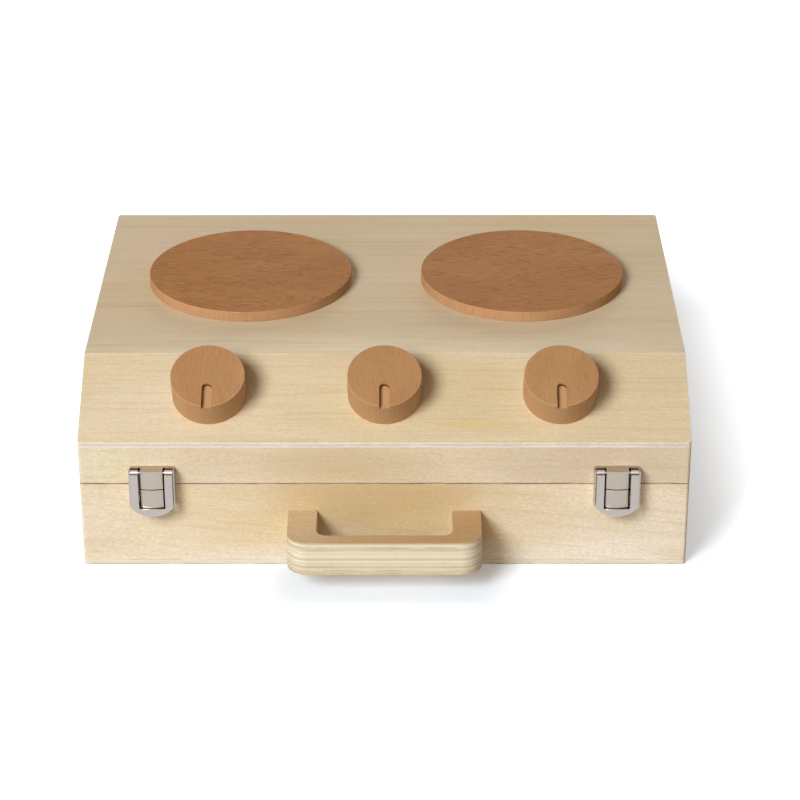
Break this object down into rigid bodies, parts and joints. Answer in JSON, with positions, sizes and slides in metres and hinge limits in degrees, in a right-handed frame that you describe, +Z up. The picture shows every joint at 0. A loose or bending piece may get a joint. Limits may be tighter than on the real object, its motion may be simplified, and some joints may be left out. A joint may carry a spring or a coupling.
{
  "type": "wooden toy oven",
  "caption": "Wooden toy oven in a closing case: hob lid with burner discs and turning knobs on a sloping panel, tray base with toggle latches and a carrying handle.",
  "frame": {"origin": "centre of the case underside, on the surface it stands on", "axes": "+X to the right seen from the handle side, +Y from the handle side to the hinge side, +Z up"},
  "size_m": [0.35, 0.3038, 0.1228],
  "materials": {
    "case_wood": "pale solid wood, sanded, clear matt coat",
    "thin_ply": "pale plywood, sanded, clear matt coat",
    "beech": "reddish brown beech, sanded, clear matt coat",
    "handle_ply": "thick plywood with its layers showing on the edges",
    "dowel": "turned beech dowel",
    "satin_nickel": "nickel plated sheet steel",
    "zinc_steel": "zinc plated steel"
  },
  "bodies": {
    "base": {"base_bottom": "thin_ply", "base_front": "case_wood", "base_back": "case_wood", "base_left": "case_wood", "base_right": "case_wood", "handle": "handle_ply", "handle_screws": "zinc_steel", "latch_catch_left": "satin_nickel", "latch_catch_right": "satin_nickel", "latch_screws_base": "zinc_steel", "hinge_leaves_base": "satin_nickel", "hinge_pins": "zinc_steel", "hinge_screws_base": "zinc_steel"},
    "lid": {"lid_front": "case_wood", "lid_back": "case_wood", "lid_left": "case_wood", "lid_right": "case_wood", "lid_top": "thin_ply", "lid_slope": "thin_ply", "burner_left": "beech", "burner_right": "beech", "latch_head_left": "satin_nickel", "latch_head_right": "satin_nickel", "latch_pins_left": "zinc_steel", "latch_pins_right": "zinc_steel", "latch_screws_lid": "zinc_steel", "hinge_leaves_lid": "satin_nickel", "hinge_screws_lid": "zinc_steel"},
    "left_knob": {"knob_left": "beech", "spindle_left": "dowel", "washer_left": "zinc_steel", "knob_screw_left": "zinc_steel"},
    "middle_knob": {"knob_middle": "beech", "spindle_middle": "dowel", "washer_middle": "zinc_steel", "knob_screw_middle": "zinc_steel"},
    "right_knob": {"knob_right": "beech", "spindle_right": "dowel", "washer_right": "zinc_steel", "knob_screw_right": "zinc_steel"},
    "left_latch": {"latch_lever_left": "satin_nickel"},
    "right_latch": {"latch_lever_right": "satin_nickel"}
  },
  "joints": [
    {"name": "lid_hinge", "type": "hinge", "parent": "base", "child": "lid", "pos_m": [0, 0.133, 0.05345], "axis": [-1, 0, 0], "range_deg": [0, 150]},
    {"name": "left_knob_turn", "type": "hinge", "parent": "lid", "child": "left_knob", "pos_m": [-0.101, -0.10124, 0.09631], "axis": [0, -0.4822, 0.876], "continuous": true},
    {"name": "middle_knob_turn", "type": "hinge", "parent": "lid", "child": "middle_knob", "pos_m": [0, -0.10124, 0.09631], "axis": [0, -0.4822, 0.876], "continuous": true},
    {"name": "right_knob_turn", "type": "hinge", "parent": "lid", "child": "right_knob", "pos_m": [0.101, -0.10124, 0.09631], "axis": [0, -0.4822, 0.876], "continuous": true},
    {"name": "left_latch_swing", "type": "hinge", "parent": "lid", "child": "left_latch", "pos_m": [-0.133, -0.1359, 0.06345], "axis": [-1, 0, 0], "range_deg": [0, 140]},
    {"name": "right_latch_swing", "type": "hinge", "parent": "lid", "child": "right_latch", "pos_m": [0.133, -0.1359, 0.06345], "axis": [-1, 0, 0], "range_deg": [0, 140]}
  ]
}
